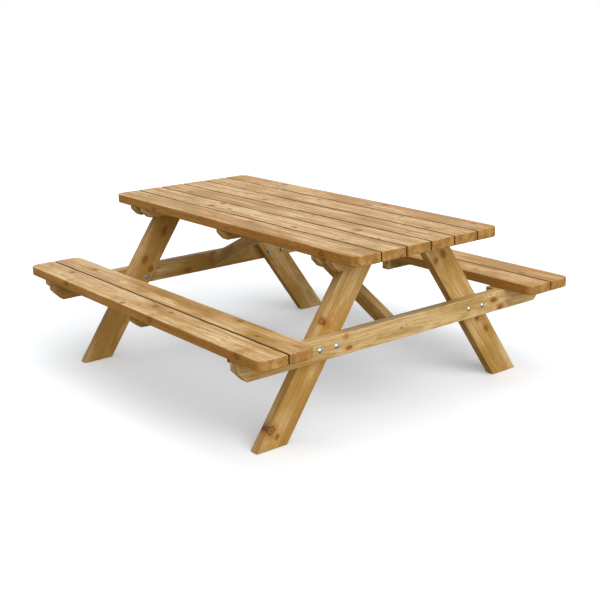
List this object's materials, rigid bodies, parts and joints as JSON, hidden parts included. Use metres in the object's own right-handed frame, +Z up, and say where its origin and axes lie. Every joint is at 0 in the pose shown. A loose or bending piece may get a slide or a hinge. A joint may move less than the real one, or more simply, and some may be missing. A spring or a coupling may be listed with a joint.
{
  "type": "picnic table",
  "caption": "Timber A-frame picnic table: slatted top and two attached bench seats on bolted slanted legs with diagonal braces.",
  "frame": {"origin": "on the ground under the middle of the two seats, which is the middle of the footprint", "axes": "+Z up, +X along the planks, +Y across the table from the front seat to the back seat"},
  "size_m": [1.864, 1.711, 0.75],
  "materials": {
    "top_planks": "pressure-treated pine, planed, honey coloured",
    "seat_planks": "pressure-treated pine, planed, honey coloured",
    "legs": "pressure-treated pine, planed, with knots",
    "frame_timber": "pressure-treated pine, planed, darker tone",
    "zinc_bolts": "bright zinc plated",
    "screws": "dark coated wood screws"
  },
  "bodies": {
    "root": {"back_seat_batten_left": "frame_timber", "back_seat_batten_middle": "frame_timber", "back_seat_batten_right": "frame_timber", "back_seat_plank_inner": "seat_planks", "back_seat_plank_outer": "seat_planks", "brace_left": "frame_timber", "brace_right": "frame_timber", "brace_screws": "screws", "front_seat_batten_left": "frame_timber", "front_seat_batten_middle": "frame_timber", "front_seat_batten_right": "frame_timber", "front_seat_plank_inner": "seat_planks", "front_seat_plank_outer": "seat_planks", "leg_back_left": "legs", "leg_back_right": "legs", "leg_front_left": "legs", "leg_front_right": "legs", "seat_batten_screws": "screws", "seat_bearer_left": "frame_timber", "seat_bearer_right": "frame_timber", "seat_bolts": "zinc_bolts", "seat_nuts": "zinc_bolts", "seat_plank_screws": "screws", "seat_washers": "zinc_bolts", "top_batten_left": "frame_timber", "top_batten_middle": "frame_timber", "top_batten_right": "frame_timber", "top_bearer_left": "frame_timber", "top_bearer_right": "frame_timber", "top_bolts": "zinc_bolts", "top_nuts": "zinc_bolts", "top_plank_1": "top_planks", "top_plank_2": "top_planks", "top_plank_3": "top_planks", "top_plank_4": "top_planks", "top_plank_5": "top_planks", "top_plank_6": "top_planks", "top_plank_screws": "screws", "top_washers": "zinc_bolts"}
  },
  "joints": []
}
